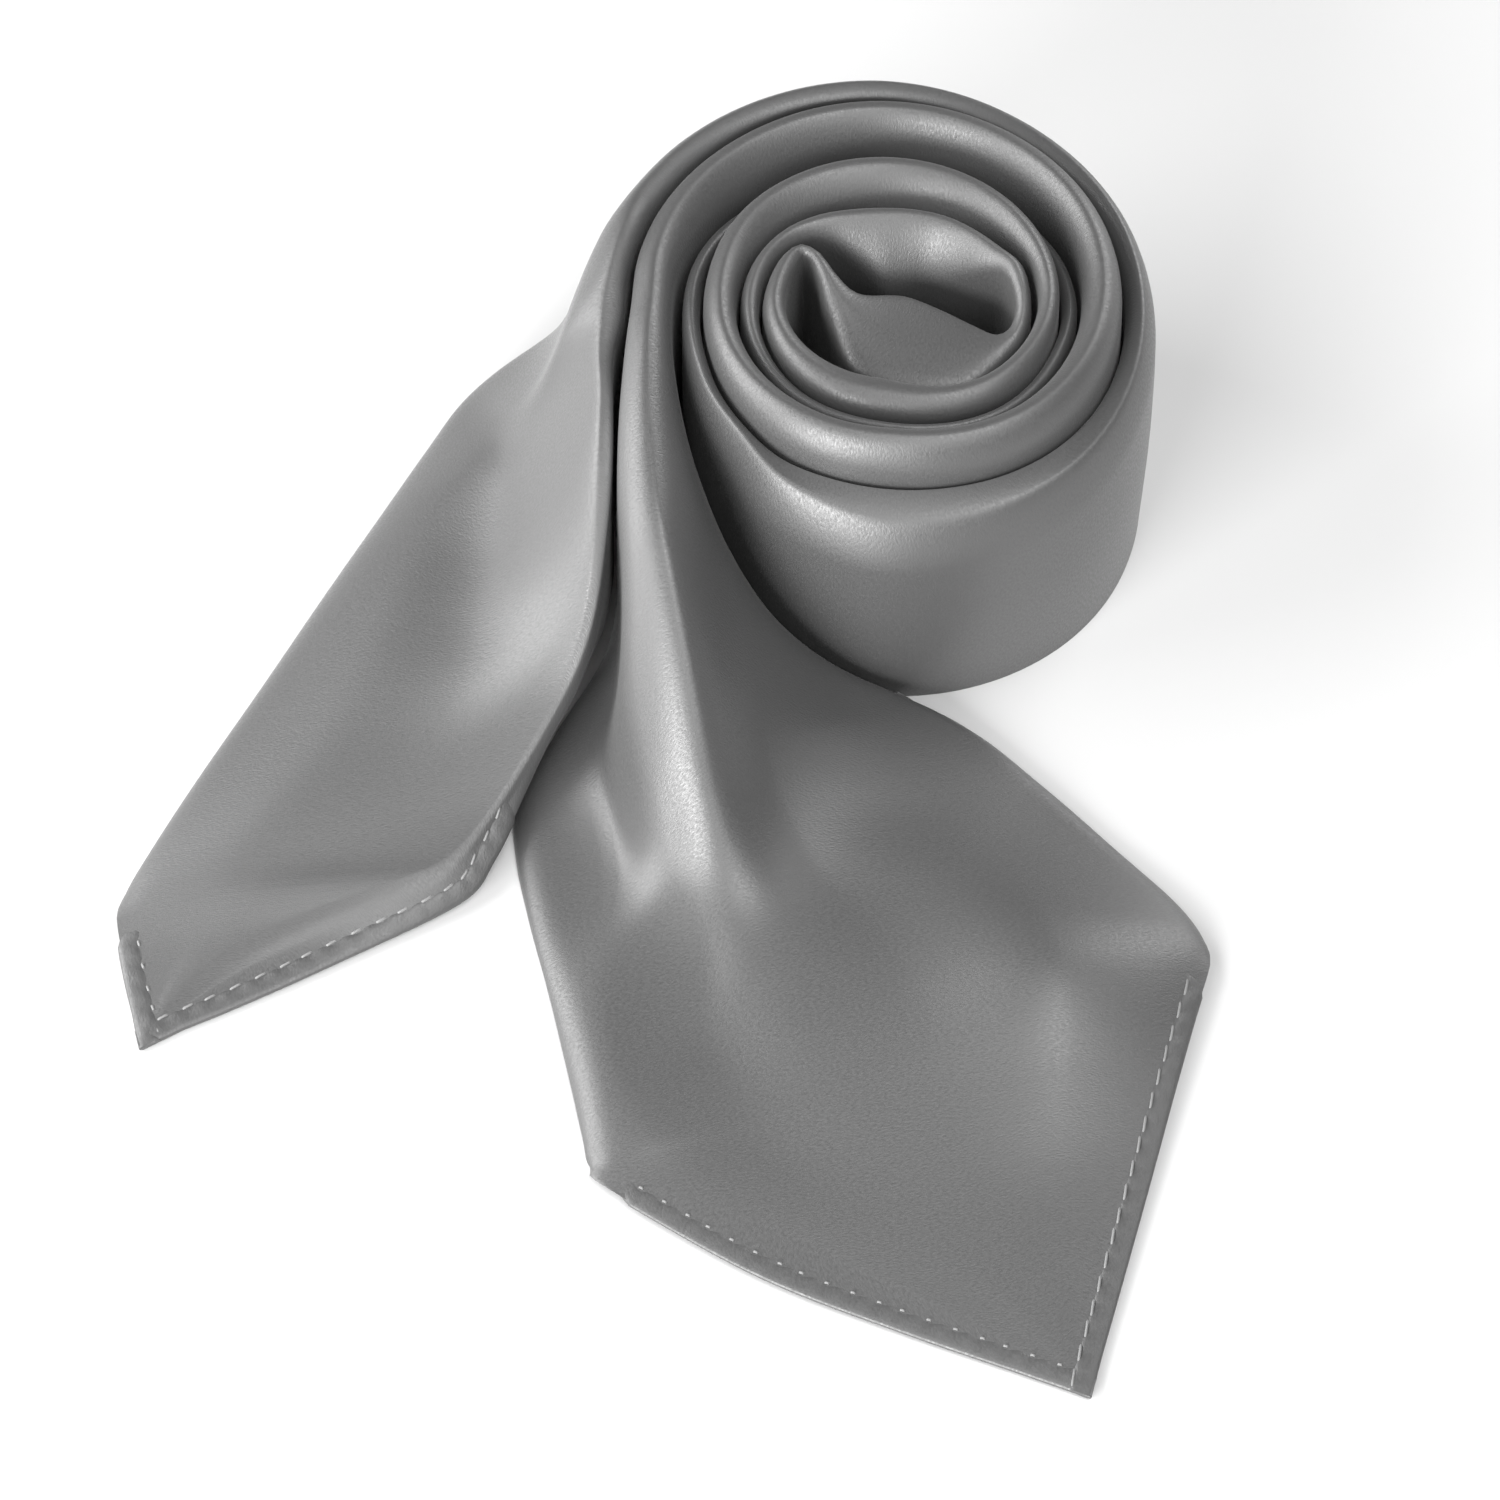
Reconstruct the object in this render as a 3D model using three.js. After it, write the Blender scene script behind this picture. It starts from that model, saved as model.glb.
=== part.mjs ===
// A square silk scarf, folded on the bias into a band, folded again lengthwise so that the fold
// is on top, and wound into a double coil with an S-shaped core. Both ends lie out in front as
// tails: the front tail lies over the floor to the right, the back tail to the left of it.
// Units are millimetres, +Z is up, and the scarf lies on the plane z = 0.
import * as THREE from 'three';

// Driving dimensions
const COIL_AXIS = [22.9, 39.85];   // where the coil's axis stands in the part's own frame
const WALL = 1.5;                  // thickness of the tails' cloth with its folded layers
const FLAT = WALL;                 // height of the upper side where a tail lies flat
const HEM_WIDTH = 2.2;
const HEM_HEIGHT = 1.9;
const GAP = 0.3;                   // between a hem and the cloth that it borders
const TURN_STEP = 15;              // degrees between sections round the coil
const ROUND_DROP = 1.25;           // depth of a strand's rounded top, in half thicknesses
const ROUND_HALF = 2.6;            // half thickness beyond which the rounded top gets no deeper
const FOOT_INSET = 0.6;            // how far in from its corners a foot's points start, in steps
const SILK = { color: 0x757575, roughness: 0.42, metalness: 0.0 };
const HEM_SILK = { color: 0x6b6b6b, roughness: 0.5, metalness: 0.0 };

// Turns of the strand that ends in the back tail, from the tail's root inwards.
// Columns: angle round the axis, radius of the strand's middle, its thickness, its top.
const BACK_TURNS = [
  [870, 28.9, 3.9, 34],
  [810, 29.6, 3.4, 33.5],
  [720, 26.6, 3.2, 31.5],
  [675, 25.7, 4.0, 31.5],
  [630, 23.7, 4.8, 31.5],
  [540, 20.0, 1.9, 32],
  [450, 21.5, 1.8, 27],
  [360, 19.1, 1.7, 31],
  [315, 17.5, 1.5, 31.5],
  [270, 14.75, 1.6, 32],
  [180, 13.95, 2.0, 33],
  [135, 13.4, 2.4, 33.5],
  [90, 11.0, 4.8, 34],
  [45, 12.2, 3.9, 34],
];

// Turns of the strand that ends in the front tail, from the core outwards.
const FRONT_TURNS = [
  [-180, 11.45, 2.5, 33.5],
  [-90, 11.2, 5.0, 33],
  [-45, 14.8, 3.8, 33],
  [0, 16.9, 2.3, 33.5],
  [45, 17.2, 4.6, 34],
  [90, 17.1, 6.4, 34],
  [135, 17.4, 4.8, 34],
  [180, 17.05, 3.6, 34],
  [270, 18.4, 5.2, 34],
  [315, 20.9, 4.8, 34],
  [360, 22.4, 4.5, 34],
  [450, 25.1, 5.0, 34],
  [540, 23.6, 4.8, 34],
];

// The S-shaped core between them, as seen from above.
// Columns: x, y, thickness, top, how far the strand is open below (0 solid, 1 hollow).
const CORE = [
  [13.4, 4.6, 2.4, 33.5, 0],
  [14.3, 1.2, 1.8, 32.5, 0],
  [13.9, -1.8, 2.0, 31.5, 0],
  [12.2, -3.6, 3.4, 30.8, 0],
  [8.8, -4.3, 8.6, 30.3, 0.6],
  [4.4, -3.5, 11.4, 30.2, 1],
  [-0.6, -1.6, 11.6, 30.6, 1],
  [-4.3, 1.2, 5.0, 31.6, 0.5],
  [-6.0, 4.3, 2.3, 32.6, 0],
  [-7.1, 6.4, 1.6, 33, 0],
  [-8.5, 7.2, 1.5, 33.2, 0],
  [-9.8, 5.9, 1.8, 33.4, 0],
  [-10.9, 3.2, 2.2, 33.5, 0],
];

// Both tails, from the root at the coil to the tip. Each row is a section through the ridge.
// Columns: ridge, then for each side the roll below the ridge, the waist below that, and the
// edge. Left and right are those of someone walking from the back tail's tip to the front's.
const FRONT_TAIL = [
  { ridge: [-25.2, -5.5, 34],
    left: [[-21.2, -5.5, 30.5], [-20.8, -5.5, 15], [-20.8, -5.5, 0]],
    right: [[-27.4, -5.5, 31], [-27.7, -5.5, 15], [-27.7, -5.5, 0]] },
  { ridge: [-25.9, -13.3, 33],
    left: [[-19.6, -12.6, 28.5], [-19.0, -12.7, 14], [-18.9, -12.8, 0]],
    right: [[-27.6, -13.3, 29.5], [-27.9, -13.3, 14], [-28.0, -13.3, 0]] },
  { ridge: [-25.7, -20, 31.5],
    left: [[-17.2, -18.2, 22.5], [-16.2, -18.8, 10], [-16.1, -19.0, 0]],
    right: [[-27.4, -20.2, 27.5], [-27.7, -20.4, 13], [-27.9, -20.5, 0.3]] },
  { ridge: [-25.2, -25.5, 30],
    left: [[-13.2, -22.8, 17], [-10.8, -24.2, 8], [-10.4, -24.6, 0.6]],
    right: [[-27.0, -25.8, 25], [-27.4, -26.2, 9], [-28.6, -26.8, 0.9]] },
  { ridge: [-24.7, -30.5, 27.5],
    left: [[-12.5, -27.2, 15.5], [-4.2, -27.0, 8], [0.3, -27.6, 3.2]],
    right: [[-26.9, -31.0, 21], [-27.7, -31.6, 6], [-31.5, -32.6, FLAT]] },
  { ridge: [-23.8, -37, 24],
    left: [[-10.5, -32.5, 12], [0.5, -31.2, 5], [9.5, -31.2, FLAT]],
    right: [[-26.6, -38.0, 15], [-28.8, -39.0, 4], [-35.6, -40.2, FLAT]] },
  { ridge: [-22.5, -43.5, 19],
    left: [[-8.2, -38.5, 9], [5.5, -37.5, 3.8], [17.0, -38.6, FLAT]],
    right: [[-26.6, -45.0, 10], [-30.5, -46.2, 3], [-38.1, -47.4, FLAT]] },
  { ridge: [-20.6, -49.5, 13],
    left: [[-6.0, -45.2, 6.8], [9.5, -44.8, 3.8], [24.0, -46.4, FLAT]],
    right: [[-26.6, -52.0, 6], [-31.5, -53.6, 2.4], [-36.6, -55.0, FLAT]] },
  { ridge: [-17.5, -56, 7.5],
    left: [[-3.0, -52.8, 4.6], [13.5, -53.0, 4.2], [30.0, -53.0, FLAT]],
    right: [[-25.0, -60.0, 3.2], [-31.0, -62.2, 2.0], [-34.7, -63.4, FLAT]] },
  { ridge: [-11.5, -65, 3.8],
    left: [[1.5, -61.8, 3.4], [17.0, -60.6, 4.8], [33.1, -58.4, FLAT]],
    right: [[-21.0, -70.0, 2.2], [-27.4, -73.0, 1.8], [-32.2, -75.4, FLAT]] },
  { ridge: [-8.5, -70.5, 3.2], left: [[3.0, -66.8, 3.5], [17.2, -65.2, 5.2], 0],
    right: [[-18.5, -75.6, 2.1], [-25.4, -78.6, 1.8], [-30.9, -81.2, FLAT]] },
  { ridge: [-5.5, -76, 2.9], left: [[5.0, -72.2, 3.6], [17.4, -69.6, 5.2], 0.13],
    right: [[-16.0, -80.6, 2.0], [-23.6, -83.0, 1.8], [-30.0, -84.6, FLAT]] },
  { ridge: [-3.5, -79.5, 2.8], left: [[6.5, -75.8, 3.5], [17.5, -73.0, 4.9], 0.21],
    right: [[-14.0, -83.2, 2.0], [-21.4, -85.2, 1.8], 0.03] },
  { ridge: [4.0, -90, 2.5], left: [[10.5, -87.4, 3.0], [17.5, -84.6, 3.2], 0.47],
    right: [[-4.0, -92.4, 2.0], [-9.6, -93.4, 1.8], 0.4] },
  { ridge: [11.8, -100.0, 2.2], left: [[14.6, -98.4, 2.3], [17.6, -96.6, 2.2], 0.74],
    right: [[8.4, -100.9, 2.0], [5.0, -101.6, 1.8], 0.74] },
  { ridge: [16.6, -105.8, 1.6], left: [[17.0, -105.6, 1.6], [17.5, -105.4, 1.6], 0.955],
    right: [[16.2, -106.0, 1.6], [15.7, -106.1, 1.6], 0.955] },
];
const BACK_TAIL = [
  { ridge: [-27.0, 9.6, 34],
    left: [[-29.5, 10.8, 31], [-30.5, 12.0, 22], [-31.0, 13.0, 14]],
    right: [[-25.5, 8.9, 31], [-25.5, 8.9, 15], [-25.5, 8.9, 0]] },
  { ridge: [-28.2, 4.5, 34],
    left: [[-31.4, 5.6, 30.6], [-33.2, 9.5, 19], [-35.6, 13.6, 11]],
    right: [[-26.5, 4.0, 31], [-26.5, 4.0, 15], [-26.5, 4.0, 0]] },
  { ridge: [-29.2, -1.0, 33.7],
    left: [[-33.2, -0.4, 30], [-35.6, 5.5, 14], [-40.6, 13.6, 7]],
    right: [[-27.0, -1.4, 31], [-27.0, -1.4, 15], [-27.0, -1.4, 0]] },
  { ridge: [-30.3, -5.5, 33],
    left: [[-35.8, -4.8, 29.5], [-37.8, 1.5, 10.5], [-45.6, 11.6, 3]],
    right: [[-28.4, -5.8, 30], [-28.3, -5.8, 15], [-28.3, -5.8, 0]] },
  { ridge: [-31.8, -10, 32],
    left: [[-38.2, -9.6, 28], [-39.8, -2.8, 8], [-49.4, 6.0, FLAT]],
    right: [[-29.0, -10.4, 29], [-28.7, -10.4, 14], [-28.7, -10.4, 0.3]] },
  { ridge: [-33.7, -16, 30],
    left: [[-40.8, -16.2, 25], [-42.2, -11.4, 6], [-54.2, -3.2, FLAT]],
    right: [[-29.5, -16.6, 26], [-28.7, -17.0, 13], [-28.7, -17.2, 4]] },
  { ridge: [-35.3, -22.5, 25.5],
    left: [[-42.6, -22.8, 19.5], [-46.5, -19.6, 4.6], [-59.4, -13.2, FLAT]],
    right: [[-31.6, -22.9, 20.5], [-30.8, -23.4, 15], 0] },
  { ridge: [-37.2, -28.5, 19],
    left: [[-44.6, -29.2, 12.5], [-52.0, -28.6, 3.8], [-65.6, -25.6, FLAT]],
    right: [[-35.0, -29.2, 15], [-34.2, -29.9, 11], 0.11] },
  { ridge: [-40.0, -35, 12.5],
    left: [[-48.5, -36.4, 7.6], [-58.2, -37.2, 3.2], [-71.2, -36.6, FLAT]],
    right: [[-38.7, -36.0, 10.2], [-37.8, -36.8, 7.8], 0.22] },
  { ridge: [-45.0, -42, 7.2],
    left: [[-54.5, -44.0, 4.8], [-65.0, -45.6, 2.8], [-75.6, -45.8, FLAT]],
    right: [[-43.6, -43.4, 6.2], [-42.3, -44.6, 5.0], 0.36] },
  { ridge: [-49.8, -47.6, 5.0],
    left: [[-58.6, -49.6, 3.8], [-68.4, -51.0, 2.4], [-78.1, -51.8, FLAT]],
    right: [[-47.8, -48.7, 4.4], [-45.5, -49.8, 3.5], 0.45] },
  { ridge: [-52.4, -50.0, 4.2], left: [[-60.2, -51.8, 3.2], [-68.4, -53.4, 2.3], 0.04],
    right: [[-50.0, -50.8, 3.6], [-47.7, -51.5, 2.8], 0.51] },
  { ridge: [-62.0, -56.8, 2.8], left: [[-67.2, -57.6, 2.5], [-72.0, -58.2, 2.0], 0.36],
    right: [[-60.0, -56.9, 2.5], [-57.9, -57.2, 2.0], 0.71] },
  { ridge: [-69.8, -62.4, 2.1], left: [[-71.4, -62.6, 2.0], [-73.0, -62.8, 1.8], 0.7],
    right: [[-68.3, -62.4, 2.0], [-66.9, -62.5, 1.8], 0.87] },
  { ridge: [-72.7, -65.2, 1.6], left: [[-73.1, -65.3, 1.6], [-73.5, -65.4, 1.6], 0.9],
    right: [[-72.2, -65.1, 1.6], [-71.7, -65.1, 1.6], 0.945] },
];

// Outer edges of the tails' hems, each from the fold where it comes into view to the corner.
const FRONT_HEM = {
  left: [[33.1, -61.4, FLAT], [30.2, -71.2, FLAT], [19.0, -111, FLAT]],
  right: [[-29.2, -87.4, FLAT], [-13.9, -97.2, FLAT], [0.7, -103.8, FLAT], [19.0, -111, FLAT]],
};
const BACK_HEM = {
  left: [[-78.9, -55.0, FLAT], [-77.6, -61.5, FLAT], [-75.2, -70.9, FLAT]],
  right: [[-28.6, -25.2, 9.5], [-33.7, -35.8, 6.0], [-36.2, -41.4, 5.0], [-39.6, -49.4, 3.3],
    [-43.4, -54.0, FLAT], [-56.4, -61.2, FLAT], [-75.2, -70.9, FLAT]],
};

// How many steps each stretch of a section gets, from the edge over the waist and the roll to
// the ridge, and how many sections stand between two rows of the core or of a tail.
const SECTION_STEPS = [2, 2, 3];
const CORE_STEPS = 2;
const TAIL_STEPS = 2;
const UNDERSIDE = [0, 2, 4, 7, 10, 12, 14];   // places across a section that have a lower point
const HEM_STEP = 6;                                 // longest stretch of hem between two sections

const vector = (point) => new THREE.Vector3(...point);

// A value between b and c on the smooth curve through a, b, c and d.
function blend(a, b, c, d, t) {
  const bend = (2 * b - 2 * c + (c - a) / 2 + (d - b) / 2) * t ** 3;
  const swing = (3 * c - 3 * b - (c - a) - (d - b) / 2) * t ** 2;
  return bend + swing + ((c - a) / 2) * t + b;
}

// A point on the smooth curve through four points, kept above the floor.
function blendPoints(a, b, c, d, t) {
  return new THREE.Vector3(
    blend(a.x, b.x, c.x, d.x, t),
    blend(a.y, b.y, c.y, d.y, t),
    Math.max(blend(a.z, b.z, c.z, d.z, t), 0),
  );
}

// The horizontal direction to the left of the way from one point to another.
function leftOf(from, to) {
  return new THREE.Vector3(from.y - to.y, to.x - from.x, 0).normalize();
}

// The seven guide points of an upright strand's section, from its left foot to its right foot.
function strandGuides(middle, left, thickness, top) {
  const half = thickness / 2;
  const place = (side, height) => middle.clone().addScaledVector(left, side * half).setZ(height);
  const roll = top - ROUND_DROP * Math.min(half, ROUND_HALF);
  return [
    place(1, 0), place(1, top / 2), place(1, roll), place(0, top),
    place(-1, roll), place(-1, top / 2), place(-1, 0),
  ];
}

// Sections every few degrees round the coil, from a table of turns.
function turnRows(turns, outwards) {
  const first = turns[0][0];
  const last = turns[turns.length - 1][0];
  const count = Math.round(Math.abs(last - first) / TURN_STEP);
  const rows = [];
  for (let i = 0; i <= count; i += 1) {
    const angle = first + ((last - first) * i) / count;
    const next = Math.max(1, turns.findIndex((row) => Math.abs(row[0] - first) >= Math.abs(angle - first)));
    const at = (k) => turns[Math.min(Math.max(k, 0), turns.length - 1)];
    const t = (angle - turns[next - 1][0]) / (turns[next][0] - turns[next - 1][0]);
    const [radius, thickness, top] = [1, 2, 3].map((column) => blend(
      at(next - 2)[column], at(next - 1)[column], at(next)[column], at(next + 1)[column], t));
    const turn = THREE.MathUtils.degToRad(angle);
    const outward = new THREE.Vector3(Math.cos(turn), Math.sin(turn), 0);
    const left = outward.clone().multiplyScalar(outwards ? -1 : 1);
    const middle = outward.clone().multiplyScalar(radius);
    rows.push({ guides: strandGuides(middle, left, thickness, top), open: 0 });
  }
  return rows;
}

function coreRows() {
  const rows = [];
  CORE.forEach(([x, y, thickness, top, open], i) => {
    const before = vector((CORE[i - 1] ?? CORE[i]).slice(0, 3));
    const after = vector((CORE[i + 1] ?? CORE[i]).slice(0, 3));
    const middle = new THREE.Vector3(x, y, 0);
    rows.push({ guides: strandGuides(middle, leftOf(before, after), thickness, top), open });
  });
  return rows;
}

// The path of a hem's outer edge round its corner, moved inwards over the cloth by a distance.
function hemPath(hem, inside, distance) {
  const path = [...hem.left, ...hem.right.slice(0, -1).reverse()].map(vector);
  const side = Math.sign(leftOf(path[0], path[1]).dot(vector(inside).sub(path[0])));
  return path.map((point, i) => {
    const before = leftOf(path[Math.max(i - 1, 0)], path[Math.max(i, 1)]);
    const after = leftOf(path[Math.min(i, path.length - 2)], path[Math.min(i + 1, path.length - 1)]);
    const miter = before.clone().add(after).divideScalar(1 + before.dot(after));
    return point.clone().addScaledVector(miter, side * distance);
  });
}

// The point at a fraction of a path's length.
function alongPath(path, fraction) {
  const curve = new THREE.CurvePath();
  for (let i = 1; i < path.length; i += 1) {
    curve.add(new THREE.LineCurve3(path[i - 1], path[i]));
  }
  return curve.getPoint(fraction);
}

function tailRows(tail, hem) {
  const inset = hemPath(hem, tail[0].ridge, HEM_WIDTH + GAP);
  const corner = hem.left.length;
  const borders = { left: inset.slice(0, corner), right: inset.slice(corner - 1).reverse() };
  const edge = (place, side) => (Array.isArray(place) ? vector(place) : alongPath(borders[side], place));
  return tail.map(({ ridge, left, right }) => ({
    guides: [
      edge(left[2], 'left'), vector(left[1]), vector(left[0]), vector(ridge),
      vector(right[0]), vector(right[1]), edge(right[2], 'right'),
    ],
    open: 1,
  }));
}

// More rows between the given ones, on smooth curves through the same guide points.
function refine(rows, from, to, steps) {
  const at = (k) => rows[Math.min(Math.max(k, 0), rows.length - 1)];
  const fine = [];
  for (let i = from; i < to; i += 1) {
    for (let step = 0; step < steps; step += 1) {
      const t = step / steps;
      fine.push({
        guides: rows[i].guides.map((_, g) => blendPoints(
          at(i - 1).guides[g], at(i).guides[g], at(i + 1).guides[g], at(i + 2).guides[g], t)),
        open: THREE.MathUtils.lerp(rows[i].open, at(i + 1).open, t),
      });
    }
  }
  return fine;
}

// A slope at the middle of three values that never lets the curve overshoot them.
function easySlope(before, here, after) {
  const rise = here - before;
  const fall = after - here;
  return rise * fall <= 0 ? 0 : (2 * rise * fall) / (rise + fall);
}

// The upper side of one section, as points along the smooth line through its guide points.
function upperLine(guides) {
  const steps = [...SECTION_STEPS, ...[...SECTION_STEPS].reverse()];
  const slopes = guides.map((here, i) => {
    const before = guides[Math.max(i - 1, 0)];
    const after = guides[Math.min(i + 1, guides.length - 1)];
    if (i === 0 || i === guides.length - 1) {
      return after.clone().sub(before);
    }
    return new THREE.Vector3(
      easySlope(before.x, here.x, after.x),
      easySlope(before.y, here.y, after.y),
      easySlope(before.z, here.z, after.z),
    );
  });
  const points = [guides[0].clone()];
  steps.forEach((count, i) => {
    for (let step = 1; step <= count; step += 1) {
      const t = step / count;
      const point = guides[i].clone().multiplyScalar((1 + 2 * t) * (1 - t) ** 2);
      point.addScaledVector(slopes[i], t * (1 - t) ** 2);
      point.addScaledVector(guides[i + 1], t * t * (3 - 2 * t));
      point.addScaledVector(slopes[i + 1], t * t * (t - 1));
      points.push(point);
    }
  });
  return points;
}

// The direction out of the cloth's upper side at each point of each section.
function upperNormals(lines) {
  return lines.map((line, i) => line.map((_, j) => {
    const along = lines[Math.min(i + 1, lines.length - 1)][j].clone().sub(lines[Math.max(i - 1, 0)][j]);
    const across = line[Math.min(j + 1, line.length - 1)].clone().sub(line[Math.max(j - 1, 0)]);
    return across.cross(along).normalize();
  }));
}

// The lower side of a section. A solid strand has a flat foot, an open one a wall's thickness.
function lowerLine(line, normals, open) {
  const last = line.length - 1;
  const foot = [line[last].clone().setZ(0), line[0].clone().setZ(0)];
  const width = UNDERSIDE.length - 1 + 2 * FOOT_INSET;
  const points = UNDERSIDE.map((j, k) => {
    const flat = foot[1].clone().lerp(foot[0], (k + FOOT_INSET) / width);
    const inner = line[j].clone().addScaledVector(normals[j], -WALL);
    inner.z = Math.max(inner.z, 0);
    return flat.lerp(inner, open);
  });
  return points.reverse();
}

// A closed mesh from rings of points, each with the same number, and its two end caps.
function loft(rings, caps) {
  const count = rings[0].length;
  const positions = rings.flat().flatMap((point) => point.toArray());
  const index = [];
  for (let i = 0; i + 1 < rings.length; i += 1) {
    for (let j = 0; j < count; j += 1) {
      const k = (j + 1) % count;
      const [a, b] = [i * count + j, i * count + k];
      index.push(a, b, a + count, b, b + count, a + count);
    }
  }
  const end = (rings.length - 1) * count;
  caps.forEach(([a, b, c]) => index.push(c, b, a, end + a, end + b, end + c));
  const geometry = new THREE.BufferGeometry();
  geometry.setAttribute('position', new THREE.Float32BufferAttribute(positions, 3));
  geometry.setIndex(index);
  geometry.computeVertexNormals();
  return geometry;
}

// Triangles that close the end of a cloth ring, between its upper and lower lines.
function clothCap(upper, ring) {
  const caps = [];
  let low = ring - 1;
  for (let j = 0; j + 1 < upper; j += 1) {
    caps.push([j, j + 1, low]);
    if (UNDERSIDE.includes(j + 1) && low > upper) {
      caps.push([j + 1, low - 1, low]);
      low -= 1;
    }
  }
  return caps;
}

function clothGeometry() {
  const back = tailRows(BACK_TAIL, BACK_HEM).reverse();
  const front = tailRows(FRONT_TAIL, FRONT_HEM);
  const backTurns = turnRows(BACK_TURNS, false);
  const frontTurns = turnRows(FRONT_TURNS, true);
  const core = coreRows();
  const rows = [...back, ...backTurns, ...core, ...frontTurns, ...front];
  const coreStart = back.length + backTurns.length - 1;
  const coreEnd = coreStart + core.length + 1;
  const frontStart = coreEnd + frontTurns.length - 1;
  const sections = [
    ...refine(rows, 0, back.length, TAIL_STEPS),
    ...refine(rows, back.length, coreStart, 1),
    ...refine(rows, coreStart, coreEnd, CORE_STEPS),
    ...refine(rows, coreEnd, frontStart, 1),
    ...refine(rows, frontStart, rows.length - 1, TAIL_STEPS),
    rows[rows.length - 1],
  ];
  const lines = sections.map(({ guides }) => upperLine(guides));
  const normals = upperNormals(lines);
  const rings = lines.map((line, i) => [...line, ...lowerLine(line, normals[i], sections[i].open)]);
  return loft(rings, clothCap(lines[0].length, rings[0].length));
}

// A hem's section, as distance in from the outer edge and height above the floor of the cloth.
const HEM_SECTION = [
  [0.0, 0.45], [0.0, 1.35], [0.35, 1.75], [1.0, HEM_HEIGHT], [1.9, 1.8], [HEM_WIDTH, 1.4],
  [HEM_WIDTH, 0.2], [0.5, 0.0],
];

function hemGeometry(hem, inside) {
  const outline = hemPath(hem, inside, 0);
  const inner = hemPath(hem, inside, 1);
  const rings = [];
  for (let i = 0; i < outline.length; i += 1) {
    const length = i + 1 < outline.length ? outline[i].distanceTo(outline[i + 1]) : 1;
    const steps = i + 1 < outline.length ? Math.ceil(length / HEM_STEP) : 1;
    for (let step = 0; step < steps; step += 1) {
      const t = step / steps;
      const next = Math.min(i + 1, outline.length - 1);
      const edge = outline[i].clone().lerp(outline[next], t);
      const inwards = inner[i].clone().lerp(inner[next], t).sub(edge);
      rings.push(HEM_SECTION.map(([distance, height]) => {
        const point = edge.clone().addScaledVector(inwards, distance);
        point.z += height - FLAT;
        return point;
      }));
    }
  }
  const caps = HEM_SECTION.slice(2).map((_, k) => [0, k + 1, k + 2]);
  return loft(rings, caps);
}

// A mesh with its faces pointing out, whichever way its rings were walked.
function facingOut(geometry) {
  const at = geometry.getAttribute('position');
  const index = geometry.getIndex();
  const corner = (k) => new THREE.Vector3().fromBufferAttribute(at, index.getX(k));
  let volume = 0;
  for (let k = 0; k < index.count; k += 3) {
    volume += corner(k).dot(corner(k + 1).cross(corner(k + 2)));
  }
  if (volume < 0) {
    for (let k = 0; k < index.count; k += 3) {
      const first = index.getX(k);
      index.setX(k, index.getX(k + 1));
      index.setX(k + 1, first);
    }
  }
  return geometry;
}

function piece(name, geometry, finish) {
  const mesh = new THREE.Mesh(facingOut(geometry), new THREE.MeshStandardMaterial(finish));
  mesh.name = name;
  return mesh;
}

const scarf = new THREE.Group();
scarf.name = 'silk_scarf';
scarf.add(
  piece('silk_cloth', clothGeometry(), SILK),
  piece('front_tail_hem', hemGeometry(FRONT_HEM, FRONT_TAIL[0].ridge), HEM_SILK),
  piece('back_tail_hem', hemGeometry(BACK_HEM, BACK_TAIL[0].ridge), HEM_SILK),
);
scarf.position.set(COIL_AXIS[0], COIL_AXIS[1], 0);

export default scarf;
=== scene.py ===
import math

import bmesh
import bpy
import numpy as np
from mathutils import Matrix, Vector
from mathutils.bvhtree import BVHTree

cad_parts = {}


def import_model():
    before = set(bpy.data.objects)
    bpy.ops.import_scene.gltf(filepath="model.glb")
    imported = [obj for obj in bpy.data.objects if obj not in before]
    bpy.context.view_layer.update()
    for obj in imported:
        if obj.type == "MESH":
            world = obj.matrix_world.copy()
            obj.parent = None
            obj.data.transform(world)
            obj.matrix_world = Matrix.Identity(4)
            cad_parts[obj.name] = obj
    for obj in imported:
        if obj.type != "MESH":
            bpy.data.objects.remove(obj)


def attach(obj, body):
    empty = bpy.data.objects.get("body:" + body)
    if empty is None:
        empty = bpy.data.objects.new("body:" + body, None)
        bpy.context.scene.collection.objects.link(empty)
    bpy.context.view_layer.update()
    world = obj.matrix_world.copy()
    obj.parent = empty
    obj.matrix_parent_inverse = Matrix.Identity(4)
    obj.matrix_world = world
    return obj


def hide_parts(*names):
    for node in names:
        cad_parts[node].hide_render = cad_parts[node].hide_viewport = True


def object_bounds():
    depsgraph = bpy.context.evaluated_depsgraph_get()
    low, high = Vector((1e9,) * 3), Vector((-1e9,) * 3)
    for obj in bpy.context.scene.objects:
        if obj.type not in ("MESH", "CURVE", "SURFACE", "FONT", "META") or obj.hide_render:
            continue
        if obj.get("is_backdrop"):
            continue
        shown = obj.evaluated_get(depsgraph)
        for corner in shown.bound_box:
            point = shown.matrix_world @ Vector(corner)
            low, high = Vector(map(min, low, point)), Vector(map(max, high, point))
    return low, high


MM = 0.001
TINY = 1e-9  # least length that is divided by

# Sizes that the part's source has too
COIL_AXIS = (22.9, 39.85)  # where the coil's axis stands in the part's frame
FLAT = 1.5  # height of the upper side where a tail lies flat
TURN_STEP = 15  # degrees between sections round the coil

# Sizes of the dressed cloth
SHOULDER = 0.93  # how far out a shoulder stands, in half thicknesses
FOOT_TUCK = 0.05  # how far in the left foot stands, in half thicknesses for each mm of shoulder
STATION_STEP = 1.35  # longest way between two sections
PATH_PARTS = 40  # straight parts of a smooth path between two of its points, before it is stepped
SHARP_ANGLE = 50  # degrees between two faces beyond which their edge is sharp

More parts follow.
